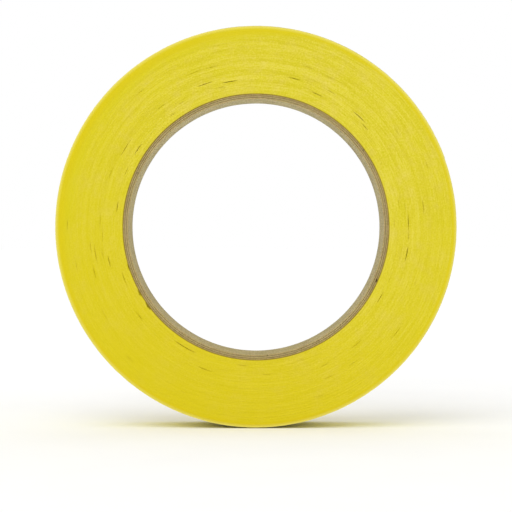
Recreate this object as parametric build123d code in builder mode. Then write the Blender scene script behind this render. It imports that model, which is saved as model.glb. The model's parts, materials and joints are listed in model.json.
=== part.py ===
from build123d import *
import math
import os

# Masking tape roll: a creped paper tape wound on a spiral-wound board core.
# Frame: origin at the centre of the core's bore, Y along the roll's axis, Z up,
# so the roll stands on its rim like a wheel. Angles are in degrees in the XZ
# plane, from +X towards +Z, counter-clockwise as seen from the front (-Y).
# All lengths are in millimetres.

# --- core: three board plies wound as spirals, each with a slanted butt seam ---
CORE_BORE_R = 38.1  # standard 3 inch core
CORE_PLIES = ["core_inner_ply", "core_middle_ply", "core_outer_ply"]
CORE_PLY_T = 0.5
CORE_R = CORE_BORE_R + len(CORE_PLIES) * CORE_PLY_T
SEAM_GAP = 0.3  # the two edges of a ply's strip don't quite meet
SEAM_LEAN = 51.5  # degrees between the seam and the roll's axis
INNER_SEAM_AT = 292.0
SEAM_STEP = 360 / len(CORE_PLIES)  # so that no two seams lie over each other

# --- tape: one strip, wound clockwise as seen from the front ---
TAPE_WIDTH = 18.0
TAPE_T = 0.128  # backing and adhesive together
ADHESIVE_T = 0.030
ROLL_R = 60.0  # nominal, at the tip of the strip
TIP_AT = 20.0  # where the strip ends

# --- cutter for the seams, longer and deeper than the ply it slits ---
SLIT_LENGTH = 2.2 * TAPE_WIDTH
SLIT_REACH = 3.0  # to each side of the ply's middle radius

# --- last lap: four quarter arcs, tangent where they meet ---
# The lap climbs by one tape thickness in a turn. The centres of its arcs sit on
# the corners of a small square round the bore's axis.
LAP_START_R = ROLL_R - 2 * TAPE_T  # nominal, under the start of the lap
QUARTER_CLIMB = TAPE_T / 4
QUARTERS = [TIP_AT - 90 * k for k in range(5)]
RADII = [LAP_START_R + k * QUARTER_CLIMB for k in range(4)]

# --- tail: the strip's last stretch, which peels off the roll ---
# It has to lie within the last quarter, whose arc it follows.
TAIL_SEGMENTS = 8
TAIL_STEP = 10.0  # degrees of roll that each segment covers
TAIL_LIFT = 0.010  # clearance under the tail
TAIL_JOINT = 0.030  # clearance between one segment and the next
TAIL_R = RADII[3]
HALF_JOINT = math.degrees(TAIL_JOINT / 2 / TAIL_R)
PEEL_AT = TIP_AT + TAIL_SEGMENTS * TAIL_STEP
STUCK_END = PEEL_AT - 360 + HALF_JOINT  # where the stuck part of the last lap stops


def polar(centre, radius, angle):
    """A point of the XZ plane, as sketch coordinates."""
    a = math.radians(angle)
    return (centre[0] + radius * math.cos(a), centre[1] + radius * math.sin(a))


def arc_centres():
    """Centres of the last lap's quarter arcs, evened out round the bore's axis."""
    corners = [(0.0, 0.0)]
    for angle in QUARTERS[1:4]:
        corners.append(polar(corners[-1], -QUARTER_CLIMB, angle))
    mean_x = sum(x for x, z in corners) / 4
    mean_z = sum(z for x, z in corners) / 4
    return [(x - mean_x, z - mean_z) for x, z in corners]


CENTRES = arc_centres()
TAIL_CENTRE = CENTRES[3]


def radial_line(centre, low, high, angle):
    """A short line outwards from radius low to radius high."""
    Line(polar(centre, low, angle), polar(centre, high, angle))


def spiral_arcs(rise, stop_at):
    """The last lap's arcs, lifted by rise, from the tip's angle clockwise to stop_at."""
    for k in range(4):
        start, end = QUARTERS[k], max(QUARTERS[k + 1], stop_at)
        CenterArc(CENTRES[k], RADII[k] + rise, start, end - start)


def lap_layer(low, high):
    """Section of one layer of the stuck last lap, between two heights above the lap below."""
    with BuildLine() as outline:
        spiral_arcs(low, STUCK_END)
        radial_line(CENTRES[0], RADII[0] + low, RADII[0] + high, TIP_AT)
        radial_line(TAIL_CENTRE, TAIL_R + low, TAIL_R + high, STUCK_END)
        spiral_arcs(high, STUCK_END)
    make_face(outline.edges())


def tail_layer(low, high, start, end):
    """Section of one layer of a tail segment, between two heights and two angles."""
    with BuildLine() as outline:
        CenterArc(TAIL_CENTRE, TAIL_R + low, start, end - start)
        CenterArc(TAIL_CENTRE, TAIL_R + high, start, end - start)
        for angle in (start, end):
            radial_line(TAIL_CENTRE, TAIL_R + low, TAIL_R + high, angle)
    make_face(outline.edges())


def save(part, name):
    part.label = name
    export_step(part, f"parts/{name}.step")


def core_ply(number, name):
    """A tube slit by its slanted seam."""
    low = CORE_BORE_R + number * CORE_PLY_T
    middle = low + CORE_PLY_T / 2
    out_x, out_z = polar((0, 0), 1, INNER_SEAM_AT - number * SEAM_STEP)
    seam_plane = Plane(
        origin=(middle * out_x, 0, middle * out_z),
        x_dir=(-out_z, 0, out_x),
        z_dir=(out_x, 0, out_z),
    )
    with BuildPart() as ply:
        with BuildSketch(Plane.XZ):
            Circle(low + CORE_PLY_T)
            Circle(low, mode=Mode.SUBTRACT)
        extrude(amount=TAPE_WIDTH / 2, both=True)
        with BuildSketch(seam_plane):
            Rectangle(SEAM_GAP, SLIT_LENGTH, rotation=SEAM_LEAN)
        extrude(amount=SLIT_REACH, both=True, mode=Mode.SUBTRACT)
    save(ply.part, name)


def wound_laps():
    """Every lap but the last, as one solid.

    The outside climbs with the strip and drops by one tape thickness where the
    last lap sets off.
    """
    with BuildPart() as laps:
        with BuildSketch(Plane.XZ):
            with BuildLine():
                spiral_arcs(0, QUARTERS[4])
                radial_line(CENTRES[0], RADII[0], RADII[0] + TAPE_T, TIP_AT)
            make_face()
            Circle(CORE_R, mode=Mode.SUBTRACT)
        extrude(amount=TAPE_WIDTH / 2, both=True)
    save(laps.part, "wound_laps")


def strip_piece(name, draw_layer, *bounds):
    """One layer of a stretch of the strip, across the tape's full width."""
    with BuildPart() as piece:
        with BuildSketch(Plane.XZ):
            draw_layer(*bounds)
        extrude(amount=TAPE_WIDTH / 2, both=True)
    save(piece.part, name)


def outer_lap():
    """The last lap, as far as it is stuck down."""
    strip_piece("outer_lap_adhesive", lap_layer, 0, ADHESIVE_T)
    strip_piece("outer_lap_backing", lap_layer, ADHESIVE_T, TAPE_T)


def tail_segment(number):
    """A short rigid length of the tail, counted from the peel line to the tip.

    The segments hinge at the tape's outer face, so that they open outwards
    without running into each other.
    """
    is_tip = number == TAIL_SEGMENTS
    start = PEEL_AT - (number - 1) * TAIL_STEP - HALF_JOINT
    end = PEEL_AT - number * TAIL_STEP + (0 if is_tip else HALF_JOINT)
    strip_piece(f"tail_{number}_backing", tail_layer, ADHESIVE_T, TAPE_T, start, end)
    strip_piece(f"tail_{number}_adhesive", tail_layer, TAIL_LIFT, ADHESIVE_T, start, end)


os.makedirs("parts", exist_ok=True)
for number, name in enumerate(CORE_PLIES):
    core_ply(number, name)
wound_laps()
outer_lap()
for number in range(1, TAIL_SEGMENTS + 1):
    tail_segment(number)
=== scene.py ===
# A roll of yellow creped tape on a three-ply board core, with the strip's tail lying over the
# outside of the roll. The roll's axis is the Y axis, its front faces -Y and it stands on a
# floor below it. The tail is a chain of lengths, one across each of its hinges.
import json
import math

import bmesh
import bpy
import numpy as np
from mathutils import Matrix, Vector


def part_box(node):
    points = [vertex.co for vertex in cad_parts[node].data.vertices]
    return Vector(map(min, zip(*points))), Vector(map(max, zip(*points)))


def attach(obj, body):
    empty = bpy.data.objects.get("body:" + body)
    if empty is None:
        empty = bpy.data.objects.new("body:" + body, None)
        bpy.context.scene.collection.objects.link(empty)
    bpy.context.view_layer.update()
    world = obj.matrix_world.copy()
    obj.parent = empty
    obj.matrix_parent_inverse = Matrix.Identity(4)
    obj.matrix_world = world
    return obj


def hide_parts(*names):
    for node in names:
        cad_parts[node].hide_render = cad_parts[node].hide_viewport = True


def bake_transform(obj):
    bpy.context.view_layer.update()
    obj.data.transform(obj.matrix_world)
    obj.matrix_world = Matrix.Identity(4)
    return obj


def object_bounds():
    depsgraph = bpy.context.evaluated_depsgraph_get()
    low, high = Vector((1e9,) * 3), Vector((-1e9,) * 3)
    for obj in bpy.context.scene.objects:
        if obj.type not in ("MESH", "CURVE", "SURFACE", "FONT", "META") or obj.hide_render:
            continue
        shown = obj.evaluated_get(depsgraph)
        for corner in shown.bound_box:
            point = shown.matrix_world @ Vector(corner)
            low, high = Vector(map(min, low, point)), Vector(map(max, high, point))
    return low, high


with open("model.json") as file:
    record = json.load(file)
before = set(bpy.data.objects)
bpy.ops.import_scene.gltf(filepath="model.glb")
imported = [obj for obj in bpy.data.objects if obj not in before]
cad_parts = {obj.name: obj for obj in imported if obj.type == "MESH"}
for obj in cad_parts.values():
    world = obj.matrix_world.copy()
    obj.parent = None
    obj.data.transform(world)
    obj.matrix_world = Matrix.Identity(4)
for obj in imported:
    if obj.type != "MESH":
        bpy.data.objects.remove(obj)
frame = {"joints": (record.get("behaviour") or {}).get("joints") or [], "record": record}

cad_box = [list(c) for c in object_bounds()]

# ------------------------------------------------------------------ sizes, from the frame
# Lengths are in millimetres and become metres when a mesh is made. Angles are in degrees
# in the XZ plane, from +X towards +Z, counter-clockwise as seen from the front.
MM = 1000.0
mounts = {mount["name"]: mount for mount in frame["record"]["mounts"]}
laps_low, laps_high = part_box("wound_laps")
HALF_WIDTH = (laps_high.y - laps_low.y) / 2 * MM
BORE_RADIUS = mounts["core_bore"]["dims"]["r_mm"]
PLY_THICK = (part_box("core_outer_ply")[1].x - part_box("core_inner_ply")[1].x) / 2 * MM
CORE_RADIUS = BORE_RADIUS + 3 * PLY_THICK
TAPE_THICK = 0.128
TAIL_LIFT = 0.010

hinges = [np.array([j["pos_m"][0], j["pos_m"][2]]) * MM for j in frame["joints"]]


def circle_through(first, second, third):
    """Centre and radius of the circle through three points."""
    sides = 2 * np.array([second - first, third - first])
    squares = np.array([second @ second - first @ first, third @ third - first @ first])
    centre = np.linalg.solve(sides, squares)
    return centre, float(np.linalg.norm(first - centre))


tail_centre, ROLL_RADIUS = circle_through(hinges[0], hinges[4], hinges[-1])
hinge_angles = [math.degrees(math.atan2(*(hinge - tail_centre)[::-1])) for hinge in hinges]
PEEL = hinge_angles[0]
STEP = hinge_angles[0] - hinge_angles[1]
SEGMENTS = len(hinges)
TIP = PEEL - STEP * SEGMENTS

# Places along the strip are given as travel: degrees clockwise from the tail's tip.
PEEL_TRAVEL = TIP - PEEL + 360
# The outer lap starts this far before the peel, and steps up over START_OVER.
START_FROM = PEEL_TRAVEL - 7.0
START_OVER = 3.0

# The strip's last turns: four quarter arcs a turn, each on its own centre, climbing by
# one tape thickness.
CLIMB = TAPE_THICK / 4
arc_radii = np.array([ROLL_RADIUS - TAPE_THICK - (3 - k) * CLIMB for k in range(4)])
arc_centres = [tail_centre]
for quarter in (3, 2, 1):
    turned = math.radians(TIP - 90 * quarter)
    shift = CLIMB * np.array([math.cos(turned), math.sin(turned)])
    arc_centres.insert(0, arc_centres[0] + shift)
arc_centres = np.array(arc_centres)


def under(travel):
    """Centre and radius of the surface under the last lap at these travels, 0 to 360.
    Travels below 0 give the lap before it."""
    travel = np.asarray(travel, float)
    before = travel < 0
    travel = np.where(before, travel + 360, travel)
    quarter = np.clip((travel // 90).astype(int), 0, 3)
    return arc_centres[quarter], arc_radii[quarter] - np.where(before, TAPE_THICK, 0.0)


# ------------------------------------------------------------------ noise
def smooth(t):
    t = np.clip(t, 0, 1)
    return t * t * (3 - 2 * t)


def lattice(x, y, seed):
    """A hashed value from 0 to 1 for each whole-number place."""
    x, y = x.astype(np.int64), y.astype(np.int64)
    bits = (x * 374761393 + y * 668265263 + seed * 974634777) & 0xFFFFFFFF
    bits = ((bits ^ (bits >> 13)) * 1274126177) & 0xFFFFFFFF
    bits = ((bits ^ (bits >> 16)) * 2246822519) & 0xFFFFFFFF
    return ((bits ^ (bits >> 15)) & 0xFFFFF) / float(0xFFFFF)


def noise(x, y, seed, wrap=None):
    """Smooth value noise from 0 to 1. With wrap, x repeats every so many cells."""
    x, y = np.broadcast_arrays(np.asarray(x, float), np.asarray(y, float))
    left, low = np.floor(x), np.floor(y)
    right, high = left + 1, low + 1
    across, up = smooth(x - left), smooth(y - low)
    if wrap is not None:
        left, right = left % wrap, right % wrap
    bottom = lattice(left, low, seed) * (1 - across) + lattice(right, low, seed) * across
    top = lattice(left, high, seed) * (1 - across) + lattice(right, high, seed) * across
    return bottom * (1 - up) + top * up


# ------------------------------------------------------------------ meshes
def stack(*parts):
    """Arrays spread to one shape and joined as the components of a vector."""
    return np.stack(np.broadcast_arrays(*parts), -1)


def mesh_object(name, points, quads, materials, attributes, sharp, slots=None, triangles=()):
    """A mesh from points in millimetres, quads and then triangles, with material slots and
    point attributes. Edges above the sharp angle stay sharp."""
    mesh = bpy.data.meshes.new(name)
    points = np.asarray(points, float).reshape(-1, 3)
    quads = np.asarray(quads, np.int32).reshape(-1, 4)
    triangles = np.asarray(triangles, np.int32).reshape(-1, 3)
    faces = len(quads) + len(triangles)
    mesh.vertices.add(len(points))
    mesh.vertices.foreach_set("co", (points / MM).astype(np.float32).ravel())
    mesh.loops.add(quads.size + triangles.size)
    corners = np.concatenate([quads.ravel(), triangles.ravel()])
    mesh.loops.foreach_set("vertex_index", corners)
    mesh.polygons.add(faces)
    starts = [np.arange(0, quads.size, 4), quads.size + np.arange(0, triangles.size, 3)]
    mesh.polygons.foreach_set("loop_start", np.concatenate(starts).astype(np.int32))
    mesh.update(calc_edges=True)
    for material in materials:
        mesh.materials.append(material)
    if slots is not None:
        mesh.polygons.foreach_set("material_index", np.asarray(slots, np.int32))
    mesh.polygons.foreach_set("use_smooth", np.ones(faces, bool))
    for key, values in attributes.items():
        values = np.asarray(values, np.float32)
        is_vector = values.size == 3 * len(points)
        layer = mesh.attributes.new(key, "FLOAT_VECTOR" if is_vector else "FLOAT", "POINT")
        layer.data.foreach_set("vector" if is_vector else "value", values.ravel())
    mesh.update()
    mesh.validate()
    mesh.set_sharp_from_angle(angle=math.radians(sharp))
    ob = bpy.data.objects.new(name, mesh)
    bpy.context.scene.collection.objects.link(ob)
    return ob


def tube_quads(rings, around, closed):
    """Quads between rings of so many points. The last ring joins the first if closed."""
    i = np.arange(rings if closed else rings - 1)[:, None]
    j = np.arange(around)[None, :]
    i_next, j_next = (i + 1) % rings, (j + 1) % around
    corners = [i * around + j, i * around + j_next, i_next * around + j_next, i_next * around + j]
    return np.stack(corners, -1).reshape(-1, 4)


# ------------------------------------------------------------------ shader helpers
def add_node(tree, kind, inputs, **settings):
    """A node with its settings, and each input either linked or given a value."""
    node = tree.nodes.new("ShaderNode" + kind)
    for key, value in settings.items():
        setattr(node, key, value)
    for key, value in inputs.items():
        put(tree, node.inputs[key], value)
    return node


def put(tree, socket, value):
    if hasattr(value, "links"):
        tree.links.new(value, socket)
    elif isinstance(value, tuple) and len(value) == 3:
        socket.default_value = (*value, 1.0)
    else:
        socket.default_value = value


class Shader:
    """Wires up one procedural material. Values may be numbers or node outputs."""

    def __init__(self, name):
        self.material = bpy.data.materials.new(name)
        self.material.use_nodes = True
        self.tree = self.material.node_tree
        self.tree.nodes.clear()
        out = add_node(self.tree, "OutputMaterial", {})
        self.bsdf = add_node(self.tree, "BsdfPrincipled", {})
        put(self.tree, out.inputs["Surface"], self.bsdf.outputs["BSDF"])

    def math(self, operation, first, second=0.0, third=None, clamp=False):
        inputs = {0: first, 1: second}
        if third is not None:
            inputs[2] = third
        node = add_node(self.tree, "Math", inputs, operation=operation, use_clamp=clamp)
        return node.outputs[0]

    def times(self, first, second, clamp=False):
        return self.math("MULTIPLY", first, second, clamp=clamp)

    def minus(self, first, second):
        return self.math("SUBTRACT", first, second)

    def line(self, value, slope, offset, clamp=False):
        return self.math("MULTIPLY_ADD", value, slope, offset, clamp)

    def weighted(self, *terms, base=0.5):
        """The base plus each noise's distance from 0.5 times its weight."""
        for fac, weight in terms:
            base = self.line(self.minus(fac, 0.5), weight, base)
        return base

    def attribute(self, name, output="Vector"):
        return add_node(self.tree, "Attribute", {}, attribute_name=name).outputs[output]

    def split(self, vector):
        return tuple(add_node(self.tree, "SeparateXYZ", {0: vector}).outputs)

    def noise(self, place, cells, detail=2.0, rough=0.5, distort=0.0):
        """Noise with so many cells to a unit of place: one number, or one for each axis
        where the place is given as three parts."""
        if isinstance(cells, tuple):
            parts = [self.times(part, count) for part, count in zip(place, cells)]
            place = add_node(self.tree, "CombineXYZ", dict(enumerate(parts))).outputs[0]
            cells = 1.0
        inputs = {"Vector": place, "Scale": cells, "Detail": detail, "Roughness": rough,
                  "Distortion": distort}
        return add_node(self.tree, "TexNoise", inputs).outputs["Fac"]

    def step(self, value, start, end):
        """Smooth step from 0 at start to 1 at end."""
        inputs = {"Value": value, "From Min": start, "From Max": end}
        node = add_node(self.tree, "MapRange", inputs, interpolation_type="SMOOTHSTEP")
        return node.outputs["Result"]

    def ramp(self, fac, stops, interpolation="LINEAR"):
        """A colour for each value, from stops of position and colour."""
        node = add_node(self.tree, "ValToRGB", {0: fac})
        node.color_ramp.interpolation = interpolation
        elements = node.color_ramp.elements
        while len(elements) < len(stops):
            elements.new(0.5)
        for element, (position, colour) in zip(elements, stops):
            element.position = position
            element.color = (*colour, 1.0)
        return node.outputs[0]

    def mix(self, share, below, above, blend="MIX"):
        inputs = {0: share, 6: below, 7: above}
        node = add_node(self.tree, "Mix", inputs, data_type="RGBA", blend_type=blend)
        return node.outputs[2]

    def bump(self, height, strength, distance):
        inputs = {"Strength": strength, "Distance": distance, "Height": height}
        self.set({"Normal": add_node(self.tree, "Bump", inputs).outputs["Normal"]})

    def set(self, inputs):
        for key, value in inputs.items():
            put(self.tree, self.bsdf.inputs[key], value)


def srgb(*channels):
    """Linear colour from sRGB channels of 0 to 255."""
    shares = [channel / 255 for channel in channels]
    return tuple(v / 12.92 if v <= 0.04045 else ((v + 0.055) / 1.055) ** 2.4 for v in shares)


# ------------------------------------------------------------------ materials
# Radius of the laps that differ in tone, and how pale they are (0.5 is neutral).
LAP_TONES = [
    (40.2, 0.50), (41.1, 0.66), (42.2, 0.76), (43.6, 0.22), (44.8, 0.80), (46.0, 0.20),
    (47.3, 0.50), (48.6, 0.96), (49.7, 0.10), (50.9, 0.80), (52.0, 0.26), (53.4, 0.58),
    (54.7, 0.66), (55.6, 0.22), (56.8, 0.74), (57.4, 0.30), (58.2, 0.50),
]
# The radius where the tones' ramp starts, and how much radius it covers.
TONES_FROM, TONES_SPAN = 40, 20


def tape_side():
    """Cut edges of the laps: fine concentric lines on mottled paper, with painted shade
    richer at the rim and a painted highlight at the outermost laps.
    """
    mat = Shader("tape_side")
    ring = mat.split(mat.attribute("ring"))
    radius, cosine, sine = ring
    cut = mat.attribute("cut", "Fac")

    def face(middle=0.0):
        """Place on the roll's side in mm, with another value as the middle part."""
        return mat.times(radius, cosine), middle, mat.times(radius, sine)

    def towards(x, z):
        """How far round a place lies towards this direction."""
        return mat.line(cosine, x, mat.times(sine, z))

    lines = mat.noise(ring, cells=(2.3, 8.0, 8.0), detail=4.0, rough=0.72)
    bands = mat.noise(ring, cells=(0.62, 2.6, 2.6))
    arcs = mat.noise(ring, cells=(4.5, 3.2, 3.2), detail=1.0)
    rays = mat.noise(ring, cells=(0.30, 80.0, 80.0))
    spot = mat.noise(face(radius), cells=(0.85, 0.2, 0.85), detail=3.0, rough=0.6)
    broad = mat.noise(face(radius), cells=(0.09, 0.02, 0.09), detail=1.0)
    grain = mat.noise(face(), cells=(2.0, 1.0, 2.0), detail=1.0)
    long = mat.noise(ring, cells=(2.9, 1.3, 1.3), rough=0.6)
    thread = mat.noise(ring, cells=(1.35, 1.7, 1.7), detail=1.0)
    # laps wound looser or tighter, which stay paler or darker most of the way round
    turns = mat.line(cosine, slope=0.4, offset=radius)
    turns = mat.line(turns, slope=1 / TONES_SPAN, offset=-TONES_FROM / TONES_SPAN)
    tones = [((at - TONES_FROM) / TONES_SPAN, (tone,) * 3) for at, tone in LAP_TONES]
    turns = mat.ramp(turns, tones, "EASE")
    strength = mat.line(bands, slope=0.26, offset=0.06)
    strength = mat.line(sine, slope=0.07, offset=strength, clamp=True)
    turns = mat.times(mat.minus(turns, 0.5), strength)
    value = mat.weighted((lines, 1.16), (long, 0.30), (thread, 0.22), (bands, 0.12),
                         (arcs, 0.50), (rays, 0.12), (spot, 0.36), (broad, 0.24),
                         (grain, 1.00))
    value = mat.math("ADD", value, turns)
    colour = mat.ramp(value, [(0.20, srgb(209, 194, 32)), (0.40, srgb(219, 205, 47)),
                              (0.60, srgb(229, 214, 69)), (0.80, srgb(238, 224, 92))])
    # a slow drift in hue
    hue = mat.noise(face(), cells=(0.36, 1.0, 0.36))
    drift = mat.noise(face(4.0), cells=(0.12, 1.0, 0.12), detail=1.0)
    hue = mat.ramp(mat.weighted((hue, 0.8), (drift, 0.8)),
                   [(0.26, srgb(221, 210, 2)), (0.5, srgb(224, 209, 38)),
                    (0.74, srgb(228, 208, 90))])
    colour = mat.mix(0.36, colour, hue)
    # painted light and shade, with some random tone: paler high on the right and near the core,
    # richer away from them, low on the left
    painted_light_away = mat.line(mat.minus(radius, 47.0), slope=0.040, offset=towards(x=-0.54, z=-0.98))
    painted_light_away = mat.weighted((broad, 1.4), base=painted_light_away)
    painted_light_away = mat.line(painted_light_away, slope=0.32, offset=0.30, clamp=True)
    colour = mat.mix(painted_light_away, colour, srgb(222, 206, 3))
    # painted shade: the outer laps are painted richer and darker, and more of them high on the left
    inner = mat.step(towards(x=-0.75, z=0.65), start=0.40, end=0.88)
    inner = mat.line(inner, slope=-4.4, offset=57.8)
    inner = mat.weighted((broad, 2.0), base=inner)
    out = mat.math("DIVIDE", mat.minus(radius, inner), mat.minus(58.9, inner), clamp=True)
    rim = mat.times(mat.step(out, start=0.0, end=0.9),
                    mat.line(bands, slope=0.5, offset=0.60), clamp=True)
    # the colour of the painted shade at the rim
    rim_shade_colour = mat.mix(mat.step(radius, start=55.5, end=58.2), srgb(220, 208, 14), srgb(224, 205, 8))
    colour = mat.mix(rim, colour, rim_shade_colour)
    # painted shade and reflection: a little warmer and darker low on the roll
    low = mat.step(towards(x=-0.30, z=-0.95), start=0.05, end=0.95)
    colour = mat.mix(low, colour, (0.995, 0.972, 0.96), "MULTIPLY")
    # painted highlight: paler at the outermost laps, where their edges catch the light, brightest
    # at the very rim
    colour = mat.mix(mat.step(radius, start=58.6, end=60.2), colour, srgb(241, 229, 112))
    colour = mat.mix(mat.step(radius, start=59.55, end=59.9), colour, srgb(243, 231, 128))
    # the line between one lap and the next
    lap = mat.math("PINGPONG", mat.math("DIVIDE", radius, TAPE_THICK), 0.5)
    lap = mat.times(mat.step(lap, start=0.16, end=0.0), 0.30)
    colour = mat.mix(lap, colour, srgb(190, 170, 8))
    # brown against the core; painted shade, dark in the gaps between laps
    core_edge = mat.step(mat.times(radius, -1.0), start=-39.95, end=-39.65)
    colour = mat.mix(mat.times(core_edge, 0.85), colour, srgb(140, 112, 36))
    colour = mat.mix(mat.times(cut, 0.85, clamp=True), colour, srgb(96, 78, 10))
    mat.set({"Base Color": colour, "Roughness": mat.line(lines, slope=0.2, offset=0.68),
             "Specular IOR Level": 0.22})
    relief = mat.weighted((lines, 1.0), (arcs, 0.8), (spot, 0.5))
    mat.bump(relief, strength=0.25, distance=0.00010)
    return mat.material


def crepe():
    """Outer face of the creped paper: short wrinkles across the strip, mottled colour."""
    mat = Shader("crepe_backing")
    along, across, _ = mat.split(mat.attribute("strip"))
    flat = (along, across, 0.0)
    wrinkle = mat.noise(flat, cells=(1.9, 0.28, 0.0), detail=3.0, rough=0.65, distort=0.2)
    fine = mat.noise(flat, cells=(5.5, 1.1, 0.0), rough=0.6)
    cloud = mat.noise(flat, cells=(0.16, 0.12, 0.0), detail=3.0, rough=0.6)
    fibre = mat.noise(flat, cells=(0.9, 3.2, 0.0), rough=0.6)
    value = mat.weighted((wrinkle, 0.85), (fine, 0.35), (cloud, 0.28), (fibre, 0.22))
    colour = mat.ramp(value, [(0.20, srgb(229, 213, 0)), (0.48, srgb(236, 222, 2)),
                              (0.80, srgb(241, 228, 20))])
    mat.set({"Base Color": colour, "Roughness": mat.line(wrinkle, slope=-0.25, offset=0.62),
             "Specular IOR Level": 0.14})
    relief = mat.weighted((wrinkle, 1.0), (fine, 0.5))
    mat.bump(relief, strength=0.18, distance=0.00010)
    return mat.material


def adhesive():
    """Underside of the strip: a thin tacky rubber layer over the paper."""
    mat = Shader("adhesive_side")
    along, across, _ = mat.split(mat.attribute("strip"))
    flat = (along, across, 0.0)
    streak = mat.noise(flat, cells=(0.12, 2.2, 0.0), detail=3.0, rough=0.6)
    wrinkle = mat.noise(flat, cells=(1.9, 0.28, 0.0), detail=3.0, rough=0.6)
    speck = mat.noise(flat, cells=(3.5, 3.5, 0.0), rough=0.6)
    value = mat.weighted((streak, 0.6), (wrinkle, 0.5), (speck, 0.4))
    colour = mat.ramp(value, [(0.25, srgb(208, 190, 24)), (0.5, srgb(222, 205, 40)),
                              (0.78, srgb(232, 217, 72))])
    mat.set({"Base Color": colour, "Roughness": mat.line(speck, slope=0.3, offset=0.30),
             "Specular IOR Level": 0.35, "Coat Weight": 0.25, "Coat Roughness": 0.25})
    relief = mat.weighted((wrinkle, 0.8), (streak, 0.6), (speck, 0.3))
    mat.bump(relief, strength=0.4, distance=0.00008)
    return mat.material


# Each ply is a strip wound at this slant from the roll's axis.
PLY_LEAN = math.radians(51.5)


def board(name, dark, base, light, is_end=False):
    """Grey-brown board: matted fibres, with faint lines along the ply's strip on its walls
    and layers on its cut ends."""
    mat = Shader(name)
    place = mat.split(mat.attribute("ply"))
    arc, y, radius = place
    felt = mat.noise(place, cells=(2.6, 2.6, 2.6), detail=4.0, rough=0.7)
    cloud = mat.noise(place, cells=(0.25, 0.2, 0.3))
    if is_end:
        grain = mat.noise(place, cells=(0.35, 0.0, 9.0), detail=3.0, rough=0.7)
        # marks the knife left across the cut end
        score = mat.noise(place, cells=(2.4, 0.0, 0.8), detail=3.0, rough=0.65)
        value = mat.weighted((grain, 0.45), (felt, 0.75), (score, 0.70), (cloud, 0.35))
        reach = 0.28
    else:
        along = mat.line(arc, math.sin(PLY_LEAN), mat.times(y, math.cos(PLY_LEAN)))
        across = mat.line(arc, -math.cos(PLY_LEAN), mat.times(y, math.sin(PLY_LEAN)))
        grain = mat.noise((along, across, radius), cells=(0.7, 4.2, 4.0), detail=4.0,
                          rough=0.65, distort=0.4)
        # rubbed along the axis as the tube came off its mandrel
        rub = mat.noise(place, cells=(2.2, 0.16, 0.0), detail=3.0, rough=0.65, distort=0.4)
        value = mat.weighted((grain, 1.0), (felt, 0.8), (cloud, 0.45), (rub, 0.85))
        # painted light and shade round the bore: lighter at the top, darker under the axis and a
        # little darker on the right, with a swing twice a turn
        angle = mat.math("DIVIDE", arc, radius)
        value = mat.line(mat.math("SINE", angle), slope=0.060, offset=value)
        value = mat.line(mat.math("COSINE", angle), slope=-0.046, offset=value)
        twice = mat.math("COSINE", mat.times(angle, 2.0))
        value = mat.line(twice, slope=0.056, offset=value)
        reach = 0.24
    colour = mat.ramp(value, [(0.5 - reach, dark), (0.5, base), (0.5 + reach, light)])
    tint = mat.noise(place, cells=(1.5, 0.12, 1.5), rough=0.6)
    tint = mat.ramp(tint, [(0.32, srgb(163, 158, 88)), (0.5, srgb(173, 157, 104)),
                           (0.68, srgb(186, 158, 120))])
    colour = mat.mix(0.40, colour, tint)
    if not is_end:
        # painted light: greyer towards the far end of the bore; painted reflection of yellow bounce
        # light, yellower low on the left
        far = mat.times(mat.step(y, start=2.0, end=9.0), 0.55)
        colour = mat.mix(far, colour, srgb(164, 158, 130))
        painted_yellow_bounce = mat.math("SINE", mat.math("ADD", angle, 0.58))
        painted_yellow_bounce = mat.line(painted_yellow_bounce, slope=-0.17, offset=0.17)
        colour = mat.mix(painted_yellow_bounce, colour, srgb(176, 154, 82))
    fleck = mat.step(mat.noise(place, cells=(1.7, 1.7, 1.7), detail=1.0), start=0.70, end=0.78)
    colour = mat.mix(mat.times(fleck, 0.45), colour, srgb(112, 96, 66))
    # painted shade: chips in the cut end are darkened by their depth
    chipped = mat.times(mat.attribute("cut", "Fac"), 0.85, clamp=True)
    colour = mat.mix(chipped, colour, srgb(70, 50, 22))
    mat.set({"Base Color": colour, "Roughness": mat.line(felt, slope=0.15, offset=0.8),
             "Specular IOR Level": 0.2, "Sheen Weight": 0.1, "Sheen Roughness": 0.6})
    mat.bump(mat.weighted((grain, 1.0), (felt, 0.8)), strength=0.5, distance=0.00012)
    return mat.material


SIDE = tape_side()
CREPE = crepe()
ADHESIVE = adhesive()
BOARD_WALL = board("board_wall", dark=srgb(132, 119, 72), base=srgb(180, 168, 120),
                   light=srgb(218, 207, 158))
BOARD_END = board("board_end", dark=srgb(134, 108, 62), base=srgb(184, 160, 105),
                  light=srgb(216, 196, 144), is_end=True)
BOARD_RIM = board("board_outer_end", dark=srgb(116, 88, 42), base=srgb(172, 144, 83),
                  light=srgb(206, 182, 119), is_end=True)

# ------------------------------------------------------------------ wound laps
LAPS = int(round((arc_radii[0] - CORE_RADIUS) / TAPE_THICK))
AROUND = 300
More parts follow.
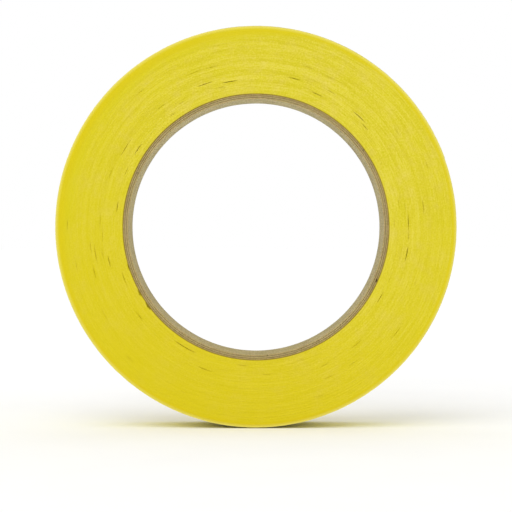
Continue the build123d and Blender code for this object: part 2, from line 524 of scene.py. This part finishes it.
# Short gaps between laps that the winding left: radius, angle, length, how open.
GAPS = [
    (45.2, 109.5, 4.3, 0.37), (44.0, 100.5, 4.1, 0.49), (45.6, 75.5, 2.6, 0.46),
    (50.1, 71.5, 3.4, 0.11), (49.6, 64.0, 2.6, 0.09), (43.6, 65.5, 3.4, 0.31),
    (44.9, 47.0, 4.4, 0.44), (44.1, 42.5, 2.2, 0.3), (50.7, 34.5, 2.6, 0.09),
    (50.2, 7.0, 4.4, 0.17), (45.3, 2.0, 3.8, 0.35), (45.5, 356.5, 2.2, 0.2),
    (45.6, 350.0, 3.8, 0.48), (42.7, 330.5, 3.6, 0.23), (46.2, 310.5, 3.8, 0.12),
    (52.4, 323.0, 2.8, 0.13), (49.8, 296.0, 3.0, 0.11), (46.1, 296.5, 2.2, 0.11),
    (45.3, 149.0, 4.8, 0.2), (42.1, 146.5, 3.5, 0.33), (41.8, 171.5, 3.0, 0.29),
    (56.3, 179.0, 2.4, 0.19), (48.4, 189.5, 5.0, 0.18), (44.9, 193.0, 3.4, 0.33),
    (49.9, 195.8, 3.8, 0.17), (54.5, 226.0, 3.0, 0.09), (41.8, 239.2, 7.8, 0.3),
    (45.3, 250.0, 3.8, 0.16), (41.6, 264.5, 2.8, 0.15), (49.5, 105.5, 2.6, 0.1),
    (46.0, 61.0, 2.4, 0.16), (42.0, 156.5, 2.2, 0.16), (41.7, 127.0, 2.0, 0.09),
    (42.3, 201.4, 4.8, 0.14), (43.8, 217.5, 2.8, 0.2), (44.3, 274.5, 2.0, 0.12),
    (41.9, 288.6, 2.4, 0.07), (49.9, 305.4, 1.8, 0.11), (50.4, 341.0, 1.6, 0.09),
    (53.8, 246.4, 1.6, 0.09), (49.6, 187.0, 2.8, 0.13), (42.9, 104.2, 2.4, 0.14),
    (54.2, 20.0, 2.4, 0.12), (46.0, 159.8, 3.6, 0.08), (46.4, 190.0, 2.8, 0.08),
    (54.8, 192.0, 3.0, 0.07), (45.7, 183.0, 4.0, 0.06), (46.4, 177.8, 3.8, 0.07),
    (44.8, 7.6, 2.4, 0.06), (43.1, 9.5, 2.8, 0.06), (42.8, 339.2, 3.0, 0.06),
    (41.2, 1.2, 3.6, 0.07), (53.0, 130.5, 3.4, 0.06), (45.6, 128.2, 3.0, 0.07),
    (43.2, 121.0, 2.2, 0.08), (49.6, 111.8, 4.0, 0.05), (52.1, 210.2, 4.2, 0.05),
    (39.95, 209.6, 1.7, 0.55), (40.08, 209.8, 1.7, 0.5), (40.2, 210.0, 1.7, 0.3),
    (39.95, 216.2, 2.4, 0.6), (40.08, 216.2, 2.0, 0.6), (40.2, 216.2, 1.7, 0.45),
    (40.0, 197.0, 2.0, 0.4),
]
# Ripples: cells around the roll, size of a cell outwards, seed, height in mm. The swing's
# cells are shares of the pack; the edges' are in laps.
SWING_RIPPLES = [(7, 1 / 3, 11, 0.55), (19, 1 / 7, 12, 0.16)]
EDGE_RIPPLES = [(3, 7.0, 21, 0.10), (5, 2.2, 22, 0.06), (24, 1.0, 23, 0.035),
                (150, 1.5, 24, 0.012)]
# Cut edges are set back near the rim and the core: over this much radius, this deep.
RIM_OVER, RIM_DEEP = 1.4, 0.16
CORE_OVER, CORE_DEEP = 0.35, 0.10


def ripple(turns, outwards, table, seed_shift=0):
    return sum((noise(turns * cells, outwards / size, seed + seed_shift, wrap=cells) - 0.5) * height
               for cells, size, seed, height in table)


def pack_outer(theta):
    """Radius of the pack's outside at these angles, from the bore's axis. It lies under the
    strip, one lap lower where the strip runs below the tail."""
    travel = (TIP - theta) % 360
    centre, radius = under(travel)
    angle = np.radians(theta)
    along = (centre * stack(np.cos(angle), np.sin(angle))).sum(-1)
    outer = along + np.sqrt(radius**2 - (centre**2).sum(-1) + along**2)
    clearance = 0.004
    return outer - TAPE_THICK * smooth((travel - START_FROM) / START_OVER) - clearance


def side_gaps(side):
    """The gaps on one side of the roll: 0 is the front, 1 the back. The back has half of the
    front's, moved a little, and more random ones."""
    gaps = list(GAPS)
    rng = np.random.default_rng(5 + side)
    if side == 1:
        gaps = [(radius + rng.normal(0, 0.15), (angle + rng.normal(0, 0.8)) % 360, length, wide)
                for radius, angle, length, wide in GAPS[::2]]
    for _ in range(2 if side == 0 else 22):
        gaps.append((rng.uniform(41.0, 57.0), rng.uniform(0, 360), rng.uniform(1.6, 3.6),
                     rng.uniform(0.04, 0.12) * (1 + side)))
    return gaps


def side_relief(side, theta, nominal):
    """How far each point is set back from the roll's side, and how much it is in a gap."""
    turns = theta[:, None] / 360
    lap = np.arange(LAPS + 1)[None, :].astype(float)
    recess = 0.04 - ripple(turns, lap, EDGE_RIPPLES, seed_shift=100 * side)
    recess = recess + RIM_DEEP * smooth((nominal - (ROLL_RADIUS - RIM_OVER)) / RIM_OVER) ** 2
    recess = recess + CORE_DEEP * smooth((CORE_RADIUS + CORE_OVER - nominal) / CORE_OVER)
    cut = np.zeros_like(nominal)
    pack = nominal[0, -1] - CORE_RADIUS
    for radius, angle, length, wide in side_gaps(side):
        share = float((radius - 0.1 - CORE_RADIUS) / pack)
        row = int(np.clip(round(share * LAPS), 1, LAPS - 2))
        off = ((theta - angle + 180) % 360 - 180) * math.pi / 180 * radius
        depth = np.sqrt(np.clip(1 - (off / (length / 2)) ** 2, 0, 1))
        # the lap in the gap sinks and the next one stands a little proud
        recess[:, row] += (0.10 + 1.0 * wide) * depth
        recess[:, row + 1] -= 0.05 * depth
        cut[:, row] = np.maximum(cut[:, row], wide * depth)
    return recess, cut


def wound_laps():
    theta = np.arange(AROUND) * 360 / AROUND
    share = (np.arange(LAPS + 1) / LAPS)[None, :]
    nominal = CORE_RADIUS + (pack_outer(theta)[:, None] - CORE_RADIUS) * share
    # laps that the winding left a little out of round
    swing = ripple(theta[:, None] / 360, share, SWING_RIPPLES)
    radius = nominal + swing * np.sin(np.pi * share) ** 0.7
    front_recess, front_cut = side_relief(0, theta, nominal)
    back_recess, back_cut = side_relief(1, theta, nominal)
    angle = np.radians(theta)[:, None]
    cosine, sine = np.cos(angle), np.sin(angle)
    front = stack(radius * cosine, -HALF_WIDTH + front_recess, radius * sine)
    back = stack(radius * cosine, HALF_WIDTH - back_recess, radius * sine)
    ring = np.concatenate([front, back[:, ::-1]], 1)
    place = stack(nominal, cosine, sine)
    attributes = {"ring": np.concatenate([place, place[:, ::-1]], 1),
                  "cut": np.concatenate([front_cut, back_cut[:, ::-1]], 1)}
    quads = tube_quads(AROUND, ring.shape[1], closed=True)
    ob = mesh_object("wound_laps_body", ring, quads, [SIDE], attributes, sharp=70)
    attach(ob, "roll")
    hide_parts("wound_laps")


# ------------------------------------------------------------------ the strip's outside
COLUMNS = 30
# The relief fades over this much of the strip's width at each edge.
EDGE_BAND = 1.2


def crepe_height(along, y):
    """Relief of the creped outer face, from 0 at the crests down to about -0.08 mm."""
    warp = (noise(along / 3.0, y / 2.5, 41) - 0.5) * 1.4
    warp = warp + (noise(along / 1.1, y / 1.3, 45) - 0.5) * 0.35
    ridges = noise((along + warp) / 0.44, y / 3.0, 42)
    small = noise((along + 0.5 * warp) / 0.30, y / 1.3, 43)
    broad = noise(along / 9.0, y / 6.0, 44)
    return -(0.046 * smooth(ridges) + 0.018 * small + 0.012 * broad)


def strip_face(start, end, share, columns, is_top, lift, ragged):
    """Points of the strip's outer face or underside, and their places along and across it."""
    y = (np.linspace(-1, 1, columns + 1) * HALF_WIDTH)[None, :]
    if ragged:
        tear = 0.35 * noise(y / 1.1, 0.5, 51) + 0.16 * noise(y / 0.35, 0.5, 52)
        end = end - np.degrees(tear / ROLL_RADIUS)
    travel = start + (end - start) * share + 0 * y
    along = np.radians(travel) * ROLL_RADIUS
    centre, radius = under(travel)
    near_edge = smooth((np.abs(y) - (HALF_WIDTH - EDGE_BAND)) / EDGE_BAND)
    covered = travel < 0
    # the strip's own start is feathered, to fill the step under it
    feather = 1 - smooth((travel + 360 - START_FROM) / START_OVER)
    relief = crepe_height(along, y)
    height = radius + lift + (TAPE_THICK - 0.02) * np.where(covered, feather, 0.0)
    if lift:
        # the crepe shows through the adhesive
        inside = 1 - near_edge
        height = height + 0.010 + 0.45 * np.maximum(relief, -0.05) * inside + 0.022 * inside
    if is_top:
        least = height + 0.004
        relief = relief * np.where(covered, 1 - 0.85 * near_edge, 1.0)
        rounding = np.where(covered, 0.0, 0.03 * near_edge**2)
        height = radius + TAPE_THICK + relief - rounding
        if ragged:
            height = height - 0.025 * smooth((share - 0.97) / 0.03)
        height = np.maximum(height, least)
    # both edges are cut a little unevenly
    trim = 0.012 * (1 + noise(along / 1.3, np.sign(y) * 3.0 + 0.5, 53)) + 0.16
    angle = np.radians(TIP - travel)
    point = centre + stack(np.cos(angle), np.sin(angle)) * height[..., None]
    xyz = stack(point[..., 0], y * (1 - trim / HALF_WIDTH), point[..., 1])
    return xyz, stack(along, y, 0.0)


def end_caps(count, around, below):
    """Triangles over the strip's two cut ends, between the outer row and the one below."""
    cap = []
    i, j = 0, 0
    while i < COLUMNS or j < below:
        if j == below or (i < COLUMNS and (i + 1) * below <= (j + 1) * COLUMNS):
            cap.append((i, i + 1, around - 1 - j))
            i += 1
        else:
            cap.append((i, around - 2 - j, around - 1 - j))
            j += 1
    cap = np.array(cap)
    return np.concatenate([cap, cap[:, ::-1] + (count - 1) * around])


def strip(name, start, end, spacing, lift=0.0, ragged=False, below=COLUMNS):
    """A closed length of the strip between two travels, with its creped face outside. Its
    underside has so many columns as given by below."""
    length = math.radians(end - start) * ROLL_RADIUS
    count = max(2, int(math.ceil(length / spacing)) + 1)
    share = np.linspace(0, 1, count)[:, None]
    top, top_place = strip_face(start, end, share, COLUMNS, True, lift, ragged)
    base, base_place = strip_face(start, end, share, below, False, lift, ragged)
    ring = np.concatenate([top, base[:, ::-1]], 1)
    place = np.concatenate([top_place, base_place[:, ::-1]], 1)
    around = ring.shape[1]
    quads = tube_quads(count, around, closed=False)[:, ::-1]
    triangles = end_caps(count, around, below)
    column = np.tile(np.arange(around), count - 1)
    is_edge = (column == COLUMNS) | (column == around - 1)
    slots = np.where(column < COLUMNS, 0, np.where(is_edge, 2, 1))
    slots = np.concatenate([slots, np.zeros(len(triangles), int)])
    radius = np.hypot(ring[..., 0], ring[..., 2])
    attributes = {"strip": place,
                  "ring": stack(radius, ring[..., 0] / radius, ring[..., 2] / radius),
                  "cut": np.zeros(count * around)}
    return mesh_object(name, ring, quads, [CREPE, ADHESIVE, SIDE], attributes, sharp=50,
                       slots=slots, triangles=triangles)


def outer_lap():
    ob = strip("outer_lap", START_FROM - 360, PEEL_TRAVEL, spacing=0.172, below=4)
    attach(ob, "roll")
    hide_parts("outer_lap_backing", "outer_lap_adhesive")


def outer_point(travel):
    """Point on the strip's outer face, in metres."""
    centre, radius = under(travel)
    angle = math.radians(TIP - travel)
    x, z = centre + (radius + TAPE_THICK) * np.array([math.cos(angle), math.sin(angle)])
    return (x / MM, 0.0, z / MM)


def tail():
    """One length across each hinge, each one ending where the next starts, so that the tail
    is one strip."""
    for k in range(SEGMENTS):
        is_first, is_last = k == 0, k == SEGMENTS - 1
        here = PEEL_TRAVEL + k * STEP
        start = here if is_first else here - STEP / 2
        end = PEEL_TRAVEL + SEGMENTS * STEP if is_last else here + STEP / 2
        ob = strip(f"tail_length_{k + 1}", start, end, spacing=0.11 if is_first else 0.15,
                   lift=TAIL_LIFT, ragged=is_last)
        if is_first:
            before, bend_from, bend_to = "roll", here, here + 1.9
        else:
            # for the second length, the span worked out for its bend starts mostly past its hinge
            before = f"tail_{k}"
            bend_from = here - STEP * (0.2 if k == 1 else 0.5)
            bend_to = here + STEP / 2
        outer_point(bend_from)
        outer_point(bend_to)
        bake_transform(ob)
        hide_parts(f"tail_{k + 1}_backing", f"tail_{k + 1}_adhesive")


# ------------------------------------------------------------------ core
# Plies from the bore outwards: name, angle of the seam midway along the axis.
PLIES = [("core_inner_ply", 292.0), ("core_middle_ply", 172.0), ("core_outer_ply", 52.0)]
SEAM_GAP = 0.3
# Chips out of the front end: ply number, angle, width, depth, where across the ply.
CHIPS = [(2, 336.2, 0.46, 0.70, 0.35), (1, 298.5, 0.30, 0.30, 0.2), (2, 104.0, 0.30, 0.25, 0.9)]
PLY_COLUMNS = 420
WALL_STEPS = 28
# Rows of points on a cut end, as shares of the ply's thickness.
END_SHARES = np.array([0.0, 0.12, 0.3, 0.5, 0.7, 0.88, 1.0])
WEAR_BAND = 0.12


def ply(name, number, seam_at):
    """One board ply: a tube open along its slanted seam, with worn cut edges."""
    seed = 60 + 10 * number
    inner = BORE_RADIUS + number * PLY_THICK
    middle = inner + PLY_THICK / 2
    # the section, as place along the axis and share of the wall: bore side, far end,
    # outside, near end
    wall = np.linspace(-1, 1, WALL_STEPS + 1)
    between = END_SHARES[1:-1]
    level = np.ones(len(between))
    side = np.concatenate([wall, level, wall[::-1], -level])[None, :]
    share = np.concatenate([0 * wall, between, 0 * wall + 1, between[::-1]])[None, :]
    around = side.shape[1]
    y = side * HALF_WIDTH
    end = np.sign(y)

    turned = np.linspace(0, 1, PLY_COLUMNS)[:, None]
    span = 360 - math.degrees(SEAM_GAP / middle)
    theta = seam_at + math.degrees(SEAM_GAP / 2 / middle) + turned * span
    theta = theta + np.degrees(y * math.tan(PLY_LEAN) / middle)
    arc = np.radians(theta) * middle
    # worn corners: a little taken off where the wall meets the cut end
    corner = np.clip((np.abs(y) - (HALF_WIDTH - WEAR_BAND)) / WEAR_BAND, 0, 1)
    wear = 0.05 + 0.07 * noise(arc / 1.7, end * 4 + 0.5, seed + 1)
    edge = (np.abs(share - 0.5) == 0.5) * (corner > 0.99)
    radius = inner + PLY_THICK * share + edge * wear * np.where(share < 0.5, 1, -1) * 0.6
    fuzz = noise(arc / 0.9, share * 5 + end * 9, seed + 2) * 0.05
    fuzz = fuzz + noise(arc / 6.0, share * 2 + end * 9, seed + 3) * 0.05
    chip = np.zeros_like(theta)
    for chipped, angle, wide, deep, centre in CHIPS:
        if chipped == number:
            off = ((theta - angle + 180) % 360 - 180) * math.pi / 180 * middle
            across = np.exp(-(((share - centre) / 0.55) ** 2))
            chip = chip + deep * np.exp(-((off / wide) ** 2)) * (y < -HALF_WIDTH + 0.01) * across
    pull = (np.abs(side) > 0.999) * (fuzz + np.where(edge, wear, 0.0) + chip)
    if number == 0:
        # the bore is uneven, and the strip's edges stand up a little beside the seam
        face = (share == 0) * (1 - corner)
        uneven = 0.022 * noise(arc / 1.1, y / 1.1, seed + 4)
        radius = radius + face * (uneven + 0.03 * noise(arc / 7.0, y / 5.0, seed + 5))
        beside = np.minimum(turned * span, (1 - turned) * span) * math.pi / 180 * middle
        radius = radius - face * 0.05 * np.exp(-((beside / 0.7) ** 2))
    angle = np.radians(theta)
    ring = stack(radius * np.cos(angle), y - end * pull, radius * np.sin(angle))

    # the seam's two faces: quads between the bore side and the outside
    outside_from = WALL_STEPS + len(END_SHARES) - 1
    outside_to = outside_from + WALL_STEPS
    inside = np.arange(WALL_STEPS + 1)
    outside = outside_to - inside
    seam = np.stack([inside[:-1], inside[1:], outside[1:], outside[:-1]], -1)
    quads = np.concatenate([tube_quads(PLY_COLUMNS, around, closed=False), seam[:, ::-1],
                            seam + (PLY_COLUMNS - 1) * around])
    row = np.tile(np.arange(around), PLY_COLUMNS - 1)
    is_wall = (row < WALL_STEPS) | ((row >= outside_from) & (row < outside_to))
    slots = np.concatenate([np.where(is_wall, 0, 1), np.zeros(2 * len(seam), int)])
    attributes = {"ply": stack(arc, y, radius), "cut": np.clip(chip / 0.5, 0, 1)}
    end_material = BOARD_RIM if number == 2 else BOARD_END
    return mesh_object(name + "_board", ring, quads, [BOARD_WALL, end_material], attributes,
                       sharp=40, slots=slots)


def close_ends(mesh):
    """Close the small openings left at the cut ends of the seam."""
    bm = bmesh.new()
    bm.from_mesh(mesh)
    open_edges = [edge for edge in bm.edges if edge.is_boundary]
    bmesh.ops.holes_fill(bm, edges=open_edges, sides=12)
    bmesh.ops.recalc_face_normals(bm, faces=bm.faces)
    bm.to_mesh(mesh)
    bm.free()


def core():
    for number, (name, seam_at) in enumerate(PLIES):
        ob = ply(name, number, seam_at)
        close_ends(ob.data)
        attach(ob, "roll")
        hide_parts(name)


# ------------------------------------------------------------------ floor, light, camera
def add_floor(scene):
    half = 4.0
    z = cad_box[0][2] - 0.0002
    mesh = bpy.data.meshes.new("floor")
    corners = [(-half, -half, z), (half, -half, z), (half, half, z), (-half, half, z)]
    mesh.from_pydata(corners, [], [(0, 1, 2, 3)])
    floor = bpy.data.objects.new("floor", mesh)
    scene.collection.objects.link(floor)
    mat = Shader("floor_paper")
    place = add_node(mat.tree, "TexCoord", {}).outputs["Object"]
    tone = mat.noise(place, cells=30.0, detail=3.0)
    colour = mat.ramp(tone, [(0.3, (0.93, 0.93, 0.93)), (0.7, (0.95, 0.95, 0.948))])
    mat.set({"Base Color": colour, "Roughness": 0.9, "Specular IOR Level": 0.1})
    mesh.materials.append(mat.material)


def add_world(scene):
    """A soft dome of light, brightest overhead, that the camera sees as plain white."""
    world = bpy.data.worlds.new("studio")
    world.use_nodes = True
    scene.world = world
    tree = world.node_tree
    tree.nodes.clear()
    white = (1.0, 1.0, 1.0)
    place = add_node(tree, "TexCoord", {}).outputs["Generated"]
    height = add_node(tree, "SeparateXYZ", {0: place}).outputs[2]
    rise = add_node(tree, "MapRange", {"Value": height, "From Min": 0.0, "From Max": 1.0,
                                       "To Min": 0.55, "To Max": 1.05})
    light = add_node(tree, "Background", {"Color": white, "Strength": rise.outputs["Result"]})
    seen = add_node(tree, "Background", {"Color": white, "Strength": 1.0})
    is_camera = add_node(tree, "LightPath", {}).outputs["Is Camera Ray"]
    mix = add_node(tree, "MixShader", {0: is_camera, 1: light.outputs[0], 2: seen.outputs[0]})
    add_node(tree, "OutputWorld", {"Surface": mix.outputs[0]})


def add_key(scene):
    data = bpy.data.lights.new("key", "SUN")
    data.energy = 0.8
    data.angle = math.radians(50)
    key = bpy.data.objects.new("key", data)
    scene.collection.objects.link(key)
    key.rotation_mode = "QUATERNION"
    key.rotation_quaternion = Vector((0.3, 0.6, -1.0)).to_track_quat("-Z", "Y")


def add_camera(scene):
    """The camera stands on the roll's axis, in front of it. It leans down by about one
    degree, which lifts the roll in the frame."""
    distance = 480.0
    lean_down = math.radians(1.0243713)
    data = bpy.data.cameras.new("camera")
    data.sensor_width = 36.0
    data.lens = 113.2515
    data.clip_start = 0.01
    data.clip_end = 50
    camera = bpy.data.objects.new("camera", data)
    scene.collection.objects.link(camera)
    camera.location = (0.0, -(HALF_WIDTH + distance) / MM, 0.0)
    camera.rotation_euler = (math.pi / 2 - lean_down, 0, 0)
    scene.camera = camera


wound_laps()
outer_lap()
tail()
core()

scene = bpy.context.scene
scene.view_settings.view_transform = "Standard"
scene.view_settings.look = "None"
scene.view_settings.exposure = 0.0
scene.view_settings.gamma = 1.0
add_floor(scene)
add_world(scene)
add_key(scene)
add_camera(scene)

bpy.context.view_layer.update()
